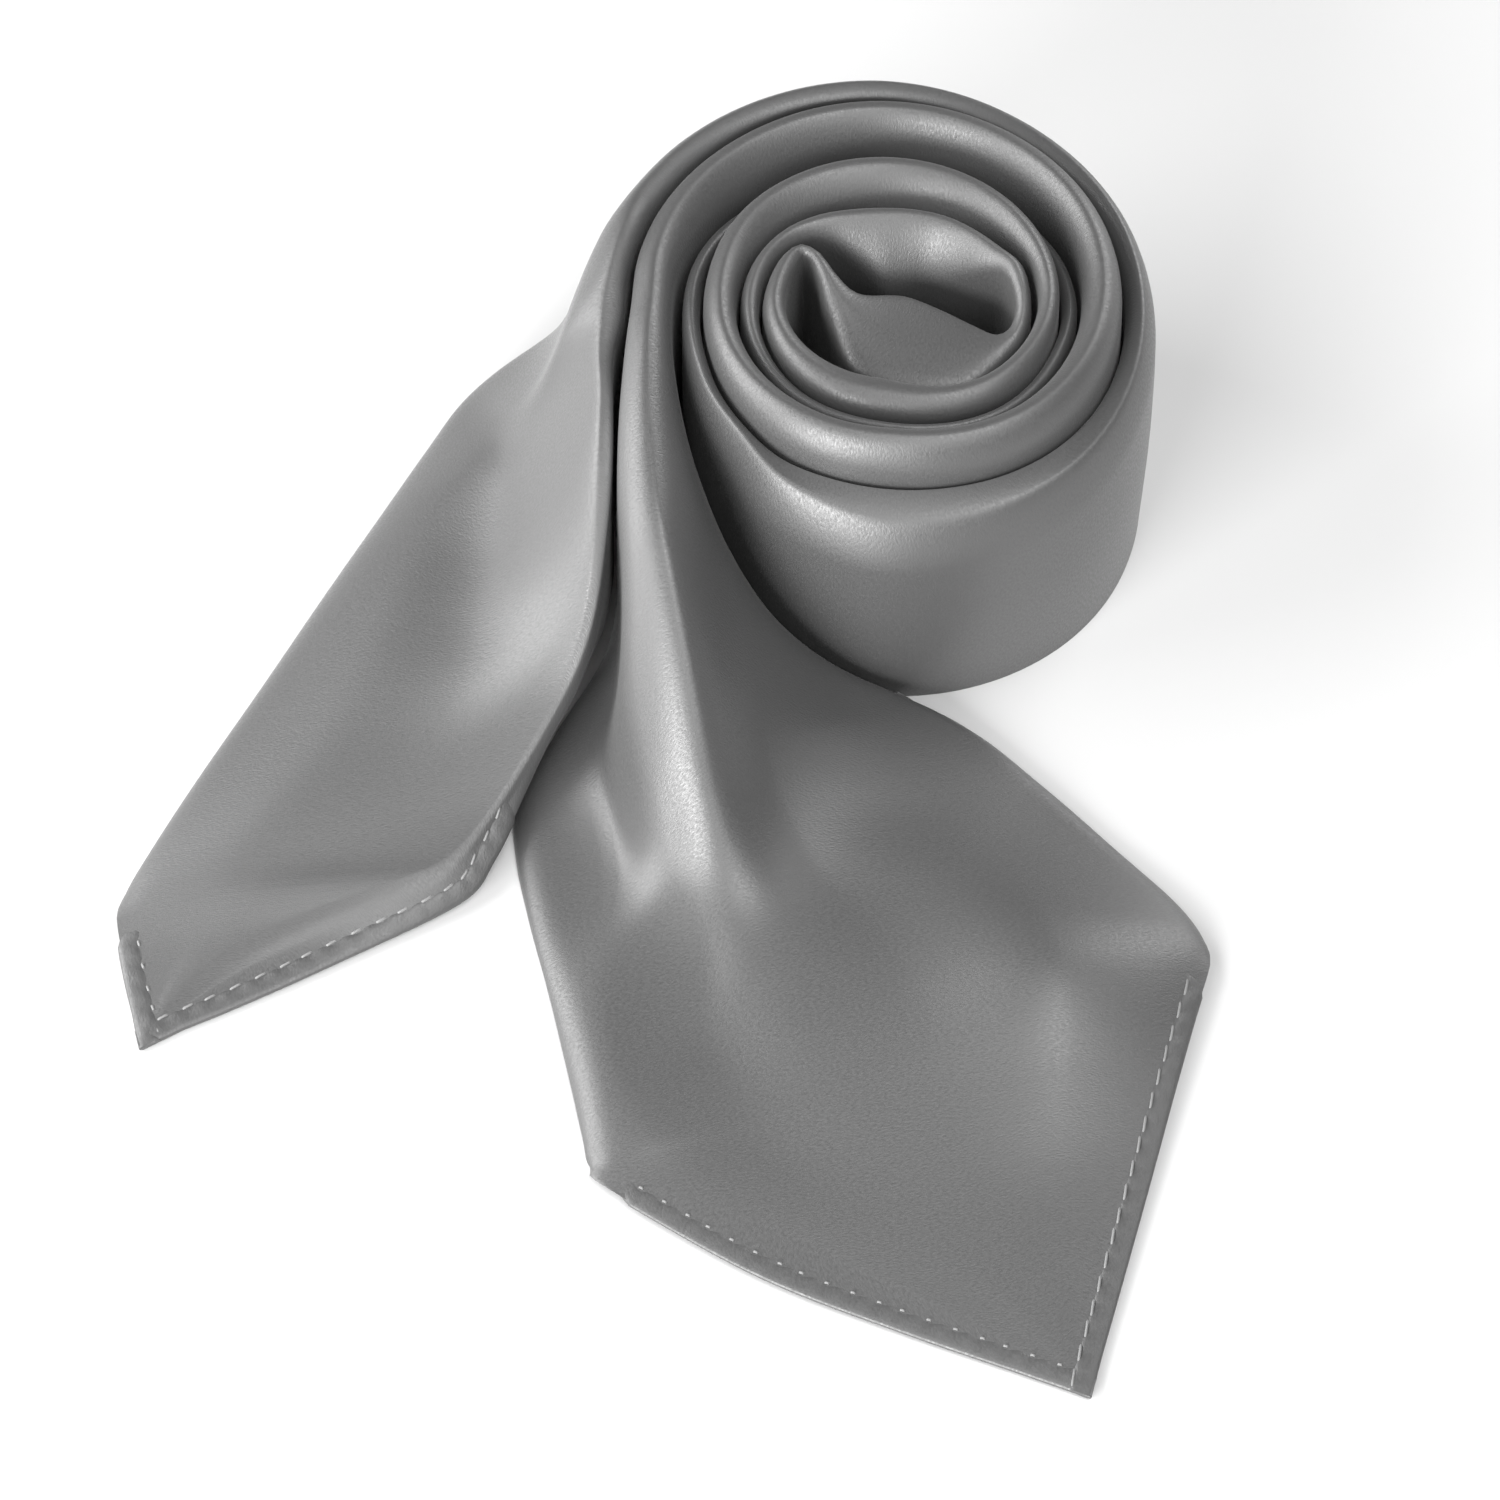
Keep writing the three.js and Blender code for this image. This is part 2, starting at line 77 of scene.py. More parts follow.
# Where a section's columns lie between its guides: edge, waist, roll, ridge, roll, waist, edge
EDGE_PLACES = (0, 0.015, 0.04, 0.075, 0.12, 0.18, 0.26, 0.37, 0.52, 0.75, 1)  # edge to waist
WAIST_STEPS = 8  # from a waist to its roll
RIDGE_STEPS = 12  # from a roll to the ridge

# The folded edges, the tips and the hidden layers
BOTH_FOLDED = (1.0, 1.0)  # for each edge of a section: 1 where it is a fold, 0 where a hem
CURL_WIDTH = 3.0  # the strip beside a folded edge that turns down to the floor
CURL_DROP = 1.35  # how far down it turns
TIP_SINK = 0.72  # how much lower the single cloth of a tip lies than the folded layers
TIP_LENGTH = 55.0  # the stretch in which it gets that low
UNDER_COLUMNS = 6  # columns between two points of a hidden layer
UNDER_SPARE = 3  # layers that are counted beside those that the folded cloth makes
UNDER_LEAST = 1e-6  # least share of a step that a hidden layer ends with
UNDER_STEP = 0.3  # way between two hidden layers
UNDER_SHARE = 0.42  # share of a strand's thickness that its hidden layers may fill
UNDER_FLOOR = 0.05  # least height of a hidden layer
UNDER_DROP = 1.0  # how much deeper the hidden layers lie where the cloth is clear of the floor
UNDER_CLEAR = (2.0, 5.0)  # heights between which they get to that depth
TAIL_THICKNESS = 2 * FLAT / UNDER_SHARE  # the thickness that a tail counts with for them

# How the tails' surface is evened out between the guides
EVEN_ROUNDS = 24
EVEN_PULL = 0.5  # how far a point goes to the mean of its neighbours in a round
EVEN_EDGE = 6  # columns beside an edge in which it fades out
EVEN_RIDGE = 0.55  # share of it that is left at the ridge
EVEN_TIP = 20.0  # the stretch before a tip in which it fades out
EVEN_LEAST = 0.05  # least way between neighbours that is counted
FRONT_SOFTNESS = (1.0, 0.25)  # how much of it a tail gets, on its left and on its right
BACK_SOFTNESS = (0.35, 0.35)
COIL_SOFTNESS = (0.0, 0.0)

# Turns of the strand that ends in the back tail, from the tail's root inwards.
# Columns: angle round the axis, radius of the strand's middle, its thickness, its top, how far to
# the left the ridge lies (in half thicknesses), and how far below the top its left and its right
# shoulder lie.
BACK_TURNS = (
    (870, 29.0, 3.7, 34, 0, 2.6, 1.4),
    (810, 29.6, 3.4, 33.5, 0, 2.4, 0.8),
    (765, 28.3, 3.4, 32, 0, 3, 1.2),
    (720, 26.6, 3.6, 30.5, 0, 4.5, 1.8),
    (675, 25.85, 4.6, 28.6, 0.1, 6, -0.2),
    (630, 24.15, 6.0, 27.6, 0.05, 6, -1.0),
    (600, 22.7, 4.2, 29.2, -0.1, 6, 0.2),
    (585, 21.5, 3.1, 30.4, -0.2, 5, 1.2),
    (540, 20.0, 1.9, 32, 0, 1.2, 1.2),
    (450, 21.5, 1.8, 27, 0, 1.1, 1.1),
    (360, 19.1, 1.7, 31, 0, 1.1, 1.1),
    (315, 17.5, 1.5, 31, 0, 0.9, 0.9),
    (270, 14.9, 1.4, 31.2, 0, 0.9, 0.9),
    (225, 14.2, 1.7, 31.5, 0, 1, 1),
    (180, 13.95, 2.0, 33, 0, 1.2, 1.2),
    (135, 13.25, 2.3, 33.5, 0, 1.4, 2),
    (90, 9.7, 7.4, 34, 0.4, 3.2, 7.5),
    (45, 11.4, 5.1, 34, 0.35, 2.4, 6),
    (30, 12.7, 3.6, 33.8, 0.2, 1.8, 3.4),
)

# Turns of the strand that ends in the front tail, from the core outwards.
FRONT_TURNS = (
    (-180, 11.45, 2.5, 33.5, 0, 1.6, 1.6),
    (-90, 11.3, 5.4, 32.8, -0.1, 2.4, 2.6),
    (-45, 14.8, 3.8, 33, 0, 2.4, 2.4),
    (0, 16.9, 2.3, 33.5, 0, 1.5, 1.5),
    (45, 17.2, 4.6, 34, -0.2, 4, 2.4),
    (90, 17.1, 6.4, 34, -0.3, 6, 2.4),
    (135, 17.4, 4.8, 34, -0.2, 4, 2.4),
    (180, 17.05, 3.6, 34, 0, 2.3, 2.3),
    (270, 18.4, 5.2, 34, 0, 3.2, 4),
    (315, 20.9, 4.8, 34, 0, 3, 4),
    (360, 22.4, 4.5, 34, 0, 3, 3),
    (405, 24.1, 4.8, 34, -0.2, 5, 1.8),
    (450, 25.1, 5.0, 34, -0.3, 6, 1.2),
    (495, 24.7, 4.6, 34, -0.2, 4.6, 1.6),
    (540, 24.1, 4.5, 34, 0, 3.2, 2.2),
)

# The S-shaped core between them, as seen from above.
# Columns: x, y, thickness, top, how far below the top its left and its right shoulder lie, how far
# the strand is open below (0 solid, 1 hollow).
CORE = (
    (13.4, 4.6, 2.4, 33.5, 1.5, 1.5, 0),
    (14.3, 1.2, 1.8, 32.5, 1.1, 1.1, 0),
    (13.9, -1.8, 2.0, 31.5, 1.2, 1.0, 0),
    (12.2, -3.6, 3.4, 30.8, 1.6, 0.9, 0),
    (8.8, -4.3, 8.6, 30.3, 1.6, 0.8, 0.6),
    (4.4, -3.5, 11.4, 30.2, 1.4, 0.7, 1),
    (-0.6, -1.6, 11.6, 30.6, 1.8, 0.7, 1),
    (-4.3, 1.2, 5.0, 31.6, 2.4, 1.0, 0.5),
    (-6.0, 4.3, 2.3, 32.6, 1.4, 1.2, 0),
    (-7.1, 6.4, 1.6, 33, 1.0, 1.0, 0),
    (-8.5, 7.2, 1.5, 33.2, 0.9, 0.9, 0),
    (-9.8, 5.9, 1.8, 33.4, 1.1, 1.1, 0),
    (-10.9, 3.2, 2.2, 33.5, 1.4, 1.4, 0),
)

# Both tails, from the root at the coil to the tip. Each row is a section through the ridge.
# Columns: ridge, then for each side the roll below the ridge, the waist below that, and the
# edge. An edge that is a single number lies at that share of the hem, from the fold to the corner.
FRONT_TAIL = (
    ((-24.4, -5.5, 34), ((-21.8, -5.5, 30.5), (-21.3, -5.5, 15), (-21.3, -5.5, 0)),
     ((-26.8, -5.5, 31.4), (-27.1, -5.5, 15), (-27.1, -5.5, 0))),
    ((-24.4, -13.2, 33), ((-20.6, -12.6, 28), (-19.5, -12.7, 14), (-19.5, -12.8, 0)),
     ((-27.3, -13.3, 30), (-27.7, -13.3, 14), (-27.8, -13.3, 0))),
    ((-23.8, -19.6, 31.6), ((-18.6, -18.6, 25), (-16.2, -18.8, 10), (-16.1, -19.0, 0)),
     ((-27.2, -20.2, 28.5), (-27.7, -20.4, 13), (-27.9, -20.5, 0.3))),
    ((-22.9, -25.5, 30), ((-16.4, -23.8, 20.5), (-11.0, -24.2, 9), (-10.4, -24.6, 0.6)),
     ((-26.7, -25.8, 27), (-27.4, -26.2, 9), (-31.8, -27.8, 3.0))),
    ((-21.9, -30.3, 27.4), ((-15.6, -28.6, 18.4), (-5.4, -27.0, 6.6), (0.3, -27.6, 3.2)),
     ((-26.4, -31.0, 23.5), (-27.9, -31.6, 6), (-35.2, -33.4, 2.2))),
    ((-20.4, -36.6, 23.0), ((-14.0, -34.4, 14.2), (-1.6, -31.8, 4.8), (9.5, -31.2, FLAT)),
     ((-26.0, -38.0, 18), (-29.2, -39.0, 4), (-38.4, -40.8, FLAT))),
    ((-18.8, -43.0, 17.4), ((-12.0, -40.6, 9.8), (2.6, -38.4, 4.0), (17.0, -38.6, FLAT)),
     ((-24.4, -45.0, 12.2), (-28.0, -45.8, 2.7), (-38.1, -47.4, FLAT))),
    ((-17.2, -49.0, 11.2), ((-9.2, -46.8, 5.3), (7.4, -45.0, 3.3), (24.0, -46.4, FLAT)),
     ((-22.2, -50.8, 7.3), (-27.4, -52.6, 2.5), (-36.6, -55.0, FLAT))),
    ((-14.4, -55.6, 5.6), ((-3.6, -53.4, 3.2), (13.4, -53.0, 5.4), (30.0, -53.0, FLAT)),
     ((-20.4, -58.4, 3.6), (-29.4, -61.8, 2.7), (-34.7, -63.4, FLAT))),
    ((-11.0, -64.8, 3.7), ((2.0, -61.8, 4.0), (16.8, -59.8, 8.2), (32.8, -57.8, FLAT)),
     ((-19.4, -69.4, 2.0), (-28.0, -73.4, 3.0), (-32.2, -75.4, FLAT))),
    ((-8.5, -70.5, 3.4), ((3.8, -66.8, 4.6), (18.2, -65.4, 8.9), 0),
     ((-17.2, -74.8, 1.9), (-26.2, -79.0, 2.8), (-30.9, -81.2, FLAT))),
    ((-5.5, -76, 3.1), ((5.6, -72.2, 4.3), (18.8, -70.2, 7.2), 0.13),
     ((-15.4, -80.2, 1.9), (-24.0, -83.2, 2.5), (-30.0, -84.6, FLAT))),
    ((-3.5, -79.5, 2.9), ((6.7, -75.8, 3.8), (18.6, -74.0, 5.5), 0.21),
     ((-13.6, -83.0, 1.9), (-21.6, -85.3, 2.1), 0.03)),
    ((4.0, -90, 2.3), ((10.5, -87.4, 2.5), (17.5, -84.6, 2.7), 0.47),
     ((-4.0, -92.4, 2.0), (-9.6, -93.4, 1.8), 0.4)),
    ((11.8, -100.0, 2.0), ((14.6, -98.4, 2.0), (17.6, -96.6, 1.9), 0.74),
     ((8.4, -100.9, 1.9), (5.0, -101.6, 1.8), 0.74)),
    ((18.2, -109.0, 1.6), ((18.3, -108.9, 1.6), (18.4, -108.8, 1.6), 0.985),
     ((18.1, -109.1, 1.6), (18.0, -109.2, 1.6), 0.985)),
)
BACK_TAIL = (
    ((-27.0, 9.6, 34), ((-29.5, 10.8, 31), (-30.5, 12.0, 22), (-31.0, 13.0, 14)),
     ((-25.5, 8.9, 32), (-25.5, 8.9, 15), (-25.5, 8.9, 0))),
    ((-28.2, 5.0, 33.2), ((-31.4, 5.8, 29.6), (-33.4, 8.5, 20), (-35.6, 13.6, 11)),
     ((-26.5, 4.6, 31), (-26.5, 4.6, 15), (-26.5, 4.6, 0))),
    ((-29.0, 0.4, 31.8), ((-33.4, 0.2, 27), (-36.2, 4.5, 15), (-40.6, 13.6, 7)),
     ((-26.9, 0.2, 30.6), (-27.1, 0.2, 15), (-27.1, 0.2, 0))),
    ((-29.6, -4.2, 30.6), ((-37.0, -1.4, 14.6), (-40.8, 4.0, 8.5), (-45.6, 11.6, 3)),
     ((-27.9, -4.6, 29.6), (-28.4, -4.4, 14), (-28.4, -4.4, 0))),
    ((-29.4, -9, 29.6), ((-39.2, -5.6, 11.0), (-44.2, -0.6, 7.5), (-49.4, 6.0, FLAT)),
     ((-27.9, -9.6, 28.9), (-28.3, -9.4, 13), (-28.3, -9.4, 0.3))),
    ((-29.6, -15.2, 27.4), ((-41.2, -13.2, 9.0), (-48.4, -8.0, 6.8), (-54.2, -3.2, FLAT)),
     ((-27.9, -15.9, 26.8), (-28.3, -16.4, 13), (-28.3, -16.8, 4))),
    ((-30.0, -22.4, 22.2), ((-42.8, -21.4, 8.6), (-52.0, -17.0, 6.6), (-59.4, -13.2, FLAT)),
     ((-28.6, -22.9, 21.6), (-28.5, -24.0, 17), 0)),
    ((-31.2, -29.2, 15.6), ((-44.0, -30.0, 8.5), (-56.0, -27.6, 6.1), (-65.6, -25.6, FLAT)),
     ((-30.4, -30.0, 14.8), (-30.3, -30.8, 12.2), 0.11)),
    ((-34.7, -35.3, 9.8), ((-47.4, -37.3, 6.9), (-60.0, -37.2, 5.4), (-71.2, -36.6, FLAT)),
     ((-34.2, -36.0, 9.2), (-34.3, -36.8, 7.9), 0.22)),
    ((-39.6, -43.2, 5.9), ((-53.0, -44.4, 5.2), (-65.2, -45.4, 4.3), (-75.6, -45.8, FLAT)),
     ((-39.3, -43.9, 5.4), (-39.2, -44.6, 4.6), 0.36)),
    ((-44.4, -49.4, 4.4), ((-57.0, -49.8, 3.9), (-68.4, -50.8, 3.3), (-78.1, -51.8, FLAT)),
     ((-43.9, -50.2, 4.1), (-43.5, -51.0, 3.5), 0.45)),
    ((-49.6, -52.2, 4.1), ((-60.0, -52.8, 3.8), (-69.4, -53.4, 2.9), 0.04),
     ((-48.8, -53.1, 3.7), (-48.0, -54.0, 3.0), 0.53)),
    ((-62.0, -56.8, 2.9), ((-67.2, -57.6, 2.6), (-72.0, -58.2, 2.1), 0.36),
     ((-60.2, -57.6, 2.7), (-58.5, -58.4, 2.2), 0.71)),
    ((-69.8, -62.4, 2.1), ((-71.4, -62.6, 2.0), (-73.0, -62.8, 1.8), 0.7),
     ((-68.3, -62.6, 2.0), (-67.0, -62.9, 1.8), 0.87)),
    ((-74.6, -69.4, 1.6), ((-74.7, -69.4, 1.6), (-74.8, -69.4, 1.6), 0.97),
     ((-74.5, -69.3, 1.6), (-74.4, -69.2, 1.6), 0.985)),
)

# Outer edges of the tails' hems, each side from the fold where it comes into view to the corner.
FRONT_HEM = {
    "left": ((33.1, -61.4, FLAT), (30.2, -71.2, FLAT), (19.0, -111, FLAT)),
    "right": ((-29.2, -87.4, FLAT), (-13.9, -97.2, FLAT), (0.7, -103.8, FLAT),
              (19.0, -111, FLAT)),
}
BACK_HEM = {
    "left": ((-78.9, -55.0, FLAT), (-77.6, -61.5, FLAT), (-75.2, -70.9, FLAT)),
    "right": ((-28.6, -26.4, 11.2), (-33.7, -36.1, 6.4), (-36.2, -41.2, 4.7),
              (-39.6, -49.0, 2.8), (-43.4, -54.0, FLAT), (-56.4, -61.2, FLAT),
              (-75.2, -70.9, FLAT)),
}

# The hem's relief over the cloth. Columns: way in from the outer edge, height over the cloth.
HEM_RELIEF = (
    (0.5, -0.62), (0.1, -0.5), (0.0, -0.25), (0.05, -0.05), (0.25, 0.07), (0.6, 0.12),
    (1.1, 0.13), (1.6, 0.11), (1.95, 0.05), (2.2, -0.06), (2.4, -0.25),
)
HEM_STEP = 0.4  # way between two sections of a hem
HEM_INSET = 0.45  # how far inside the hem's outer edge the sheet itself ends
HEM_EASE = 4  # sections on either side over which its direction is smoothed
HEM_FADE = 4.0  # the stretch in which a hem comes out from under the fold
HEM_HIDE = 0.35  # how deep below the cloth it starts
HEM_TAPER = 1.4  # how far inside its edge it starts
HEM_LEVEL = 0.45  # how level the cloth has to be under it, as the cosine of its slope
HEM_LAP = 0.06  # how much higher the upper one of two hems lies at their corner
PUCKER = 0.07  # height of the ripples beside the seam
STITCH_LINE = 2.2  # way from the outer edge to the seam
STITCH_PITCH = 2.7
STITCH_TURN = 0.11  # how far a stitch is turned out of the seam's line, in radians
THREAD_RADIUS = 0.13
THREAD_SIDES = 8

# A stitch from end to end. Columns: place in half lengths, radius in thread radii, drop.
STITCH_SHAPE = (
    (-1.1, 0.35, 0.26), (-0.98, 0.8, 0.14), (-0.75, 1.0, 0.04), (-0.4, 1.05, 0.0),
    (0.0, 1.0, 0.0), (0.4, 1.05, 0.0), (0.75, 1.0, 0.04), (0.98, 0.8, 0.14), (1.1, 0.35, 0.26),
)

# The seams. Columns: hem, side, length of thread that shows of a stitch, its height.
SEAMS = (
    ("front", "left", 2.0, 0.07),
    ("front", "right", 0.5, 0.05),
    ("back", "left", 0.7, 0.05),
    ("back", "right", 1.3, 0.04),
)


def blend(a, b, c, d, t):
    """A value between b and c on the smooth curve through a, b, c and d."""
    bend = (2 * b - 2 * c + (c - a) / 2 + (d - b) / 2) * t**3
    swing = (3 * c - 3 * b - (c - a) - (d - b) / 2) * t**2
    return bend + swing + (c - a) / 2 * t + b


def strand_guides(x, y, left, thickness, top, lean, left_fall, right_fall):
    """The seven guide points of an upright strand's section, from left foot to right foot."""
    half = thickness / 2
    heights = (0, top / 2, top - left_fall, top, top - right_fall, top / 2, 0)
    foot = half * (1 - FOOT_TUCK * left_fall)
    sides = (foot, half, half * SHOULDER, half * lean, -half * SHOULDER, -half, -half)
    return [(x + s * left[0], y + s * left[1], z) for s, z in zip(sides, heights)]


def turn_rows(turns, outwards):
    """Sections every few degrees round the coil: guides, openness and thickness of each."""
    table = np.array(turns, float)
    first, last = table[0, 0], table[-1, 0]
    count = round(abs(last - first) / TURN_STEP)
    rows = []
    for i in range(count + 1):
        angle = first + (last - first) * i / count
        passed = np.abs(table[:, 0] - first) >= abs(angle - first)
        k = max(1, int(np.argmax(passed)))
        t = (angle - table[k - 1, 0]) / (table[k, 0] - table[k - 1, 0])
        near = [table[min(max(n, 0), len(table) - 1)] for n in (k - 2, k - 1, k, k + 1)]
        _, radius, thickness, top, lean, left_fall, right_fall = blend(*near, t)
        turn = math.radians(angle)
        out = (math.cos(turn), math.sin(turn))
        left = (-out[0], -out[1]) if outwards else out
        x, y = out[0] * radius, out[1] * radius
        guides = strand_guides(x, y, left, thickness, top, lean, left_fall, right_fall)
        rows.append((guides, 0.0, thickness))
    return rows


def core_rows():
    """The core's sections: guides, openness and thickness of each."""
    rows = []
    for i, (x, y, thickness, top, left_fall, right_fall, hollow) in enumerate(CORE):
        before = CORE[max(i - 1, 0)]
        after = CORE[min(i + 1, len(CORE) - 1)]
        way = np.array([before[1] - after[1], after[0] - before[0]])
        left = way / np.linalg.norm(way)
        guides = strand_guides(x, y, left, thickness, top, 0, left_fall, right_fall)
        rows.append((guides, hollow, thickness))
    return rows


def smooth_path(points, step):
    """The smooth line through some points, with points about a step apart."""
    at = [points[0], *points, points[-1]]
    fine = [
        blend(*at[i : i + 4], t)
        for i in range(len(points) - 1)
        for t in np.linspace(0, 1, PATH_PARTS, endpoint=False)
    ]
    fine = np.array([*fine, points[-1]])
    along = np.concatenate([[0], np.cumsum(np.linalg.norm(np.diff(fine, axis=0), axis=1))])
    places = np.linspace(0, along[-1], max(2, math.ceil(along[-1] / step) + 1))
    return np.stack([np.interp(places, along, fine[:, k]) for k in range(3)], axis=1)


def unit(v):
    """A way with its length made 1."""
    return v / max(np.linalg.norm(v), TINY)


def hem_line(hem, side, inset=0.0):
    """A side of a hem's outer edge from the fold to the corner, or a line inside that."""
    line = smooth_path(np.array(hem[side], float), HEM_STEP)
    other = np.array(hem["right" if side == "left" else "left"][0], float)
    way = np.gradient(line, axis=0)
    inwards = np.stack([-way[:, 1], way[:, 0], np.zeros(len(way))], axis=1)
    inwards /= np.linalg.norm(inwards, axis=1, keepdims=True)
    middle = len(line) // 2
    sign = np.sign(np.dot(inwards[middle], other - line[middle]))
    return line + inwards * sign * inset, sign


def tail_rows(tail, hem, softness):
    """Guides, openness, thickness, for each side whether it ends in a fold (1) or hem (0), and
    for each side how much it is evened out."""
    lines = {side: hem_line(hem, side, HEM_INSET)[0] for side in hem}
    rows = []
    for ridge, left, right in tail:
        ends, folds = [], []
        for side, guides in (("left", left), ("right", right)):
            place = guides[2]
            folds.append(float(isinstance(place, tuple)))
            line = lines[side]
            ends.append(place if isinstance(place, tuple) else line[int(place * (len(line) - 1))])
        row = [ends[0], left[1], left[0], ridge, right[0], right[1], ends[1]]
        rows.append((row, 1.0, TAIL_THICKNESS, *folds, *softness))
    return rows


def all_rows():
    """Every section's guides and facts, from the back tail's tip to the front tail's tip."""
    strand = [*turn_rows(BACK_TURNS, False), *core_rows(), *turn_rows(FRONT_TURNS, True)]
    strand = [(*row, *BOTH_FOLDED, *COIL_SOFTNESS) for row in strand]
    back = tail_rows(BACK_TAIL, BACK_HEM, BACK_SOFTNESS)
    front = tail_rows(FRONT_TAIL, FRONT_HEM, FRONT_SOFTNESS)
    rows = [*reversed(back), *strand, *front]
    guides = np.array([[list(map(float, p)) for p in row[0]] for row in rows])
    facts = np.array([row[1:] for row in rows], float)
    return guides, facts


def refine(guides, facts):
    """More sections between the given ones, on smooth curves through the same guide points."""
    last = len(guides) - 1
    fine_guides, fine_facts = [], []
    for i in range(last):
        near = [guides[min(max(k, 0), last)] for k in (i - 1, i, i + 1, i + 2)]
        longest = np.linalg.norm(guides[i + 1] - guides[i], axis=1).max()
        steps = max(1, math.ceil(longest / STATION_STEP))
        for t in np.arange(steps) / steps:
            fine_guides.append(blend(*near, t))
            fine_facts.append(facts[i] * (1 - t) + facts[i + 1] * t)
    fine_guides.append(guides[last])
    fine_facts.append(facts[last])
    fine = np.array(fine_guides)
    fine[:, :, 2] = np.maximum(fine[:, :, 2], 0)
    return fine, np.array(fine_facts)


def easy_slopes(guides):
    """Slopes at the guides of each section that never let its line overshoot them."""
    slopes = np.zeros_like(guides)
    rise = guides[:, 1:-1] - guides[:, :-2]
    fall = guides[:, 2:] - guides[:, 1:-1]
    same = rise * fall > 0
    total = np.where(same, rise + fall, 1)
    slopes[:, 1:-1] = np.where(same, 2 * rise * fall / total, 0)
    slopes[:, 0] = guides[:, 1] - guides[:, 0]
    slopes[:, -1] = guides[:, -1] - guides[:, -2]
    return slopes


def upper_lines(guides):
    """The upper side of each section, as points along the smooth line through its guides."""
    edge = np.array(EDGE_PLACES)
    waist = np.linspace(0, 1, WAIST_STEPS + 1)
    ridge = np.linspace(0, 1, RIDGE_STEPS + 1)
    places = [edge, waist, ridge, 1 - ridge[::-1], 1 - waist[::-1], 1 - edge[::-1]]
    slopes = easy_slopes(guides)
    columns = [guides[:, 0]]
    for i, stretch in enumerate(places):
        for t in stretch[1:]:
            point = guides[:, i] * ((1 + 2 * t) * (1 - t) ** 2)
            point = point + slopes[:, i] * (t * (1 - t) ** 2)
            point = point + guides[:, i + 1] * (t * t * (3 - 2 * t))
            columns.append(point + slopes[:, i + 1] * (t * t * (t - 1)))
    return np.stack(columns, axis=1)


def normals_of(lines):
    """The direction out of the cloth's upper side at each point of each section."""
    along = np.empty_like(lines)
    along[1:-1] = lines[2:] - lines[:-2]
    along[0], along[-1] = lines[1] - lines[0], lines[-1] - lines[-2]
    across = np.empty_like(lines)
    across[:, 1:-1] = lines[:, 2:] - lines[:, :-2]
    across[:, 0], across[:, -1] = lines[:, 1] - lines[:, 0], lines[:, -1] - lines[:, -2]
    normal = np.cross(across, along)
    return normal / np.maximum(np.linalg.norm(normal, axis=2, keepdims=True), TINY)


def mean_beside(lines, axis):
    """The mean of each point's two neighbours along an axis, the nearer one counting more."""
    steps = np.maximum(np.linalg.norm(np.diff(lines, axis=axis), axis=2), EVEN_LEAST)[:, :, None]
    pull = 1 / steps
    if axis == 0:
        total = pull[1:] + pull[:-1]
        return (lines[2:] * pull[1:] + lines[:-2] * pull[:-1])[:, 1:-1] / total[:, 1:-1]
    total = pull[:, 1:] + pull[:, :-1]
    return (lines[:, 2:] * pull[:, 1:] + lines[:, :-2] * pull[:, :-1])[1:-1] / total[1:-1]


def evened(lines, along, softness):
    """The sheet with the tails' surface evened out, least at their ridges and edges."""
    last = lines.shape[1] - 1
    places = np.arange(last + 1)
    from_edge = np.minimum(places, last - places)
    to_ridge = np.clip((last / 2 - from_edge) / RIDGE_STEPS, 0, 1)
    share = np.clip(from_edge / EVEN_EDGE, 0, 1) * (EVEN_RIDGE + (1 - EVEN_RIDGE) * to_ridge)
    to_tip = np.clip(np.minimum(along, along[-1] - along) / EVEN_TIP, 0, 1)
    softness = np.repeat(softness, [last // 2, last // 2 + 1], axis=1) * to_tip[:, None]
    pull = EVEN_PULL * (softness * share)[1:-1, 1:-1, None]
    for _ in range(EVEN_ROUNDS):
        mean = (mean_beside(lines, 0) + mean_beside(lines, 1)) / 2
        lines = lines.copy()
        lines[1:-1, 1:-1] += (mean - lines[1:-1, 1:-1]) * pull
    return lines


def ways(lines):
    """How far each point is along the ridge, and across from its section's left edge."""
    steps = np.linalg.norm(np.diff(lines, axis=1), axis=2)
    across = np.concatenate([np.zeros((len(lines), 1)), np.cumsum(steps, axis=1)], axis=1)
    ridge = lines[:, lines.shape[1] // 2]
    along = np.concatenate([[0], np.cumsum(np.linalg.norm(np.diff(ridge, axis=0), axis=1))])
    return along, across


def turn_edges_down(lines, normals, across, facts):
    """Rounds the folded edges of the tails down to the floor."""
    width = across[:, -1:]
    for from_edge, fold in ((across, facts[:, 2:3]), (width - across, facts[:, 3:4])):
        near = np.clip(1 - from_edge / CURL_WIDTH, 0, 1)
        drop = CURL_DROP * (1 - np.sqrt(1 - near**2)) * fold * facts[:, :1]
        lines = lines - normals * drop[:, :, None]
    lines[:, :, 2] = np.maximum(lines[:, :, 2], UNDER_FLOOR)
    return lines


def sink_tips(lines, along):
    """Lets the tips, where the cloth is single, lie lower than the folded layers do."""
    to_tip = np.minimum(along, along[-1] - along)
    share = np.clip(1 - to_tip / TIP_LENGTH, 0, 1)
    share = share * share * (3 - 2 * share)
    lines[:, :, 2] -= (TIP_SINK * share)[:, None]
    return lines


def hidden_extents(along, facts):
    """How much cloth is folded away below each section, on the left and on the right."""
    extents = []
    for fold in (facts[:, 2], facts[:, 3]):
        folded = np.nonzero(fold >= 1)[0]
        start, end = along[folded[0]], along[folded[-1]]
        extents.append(np.clip(np.minimum(along - start, end - along), 0, None))
    return extents


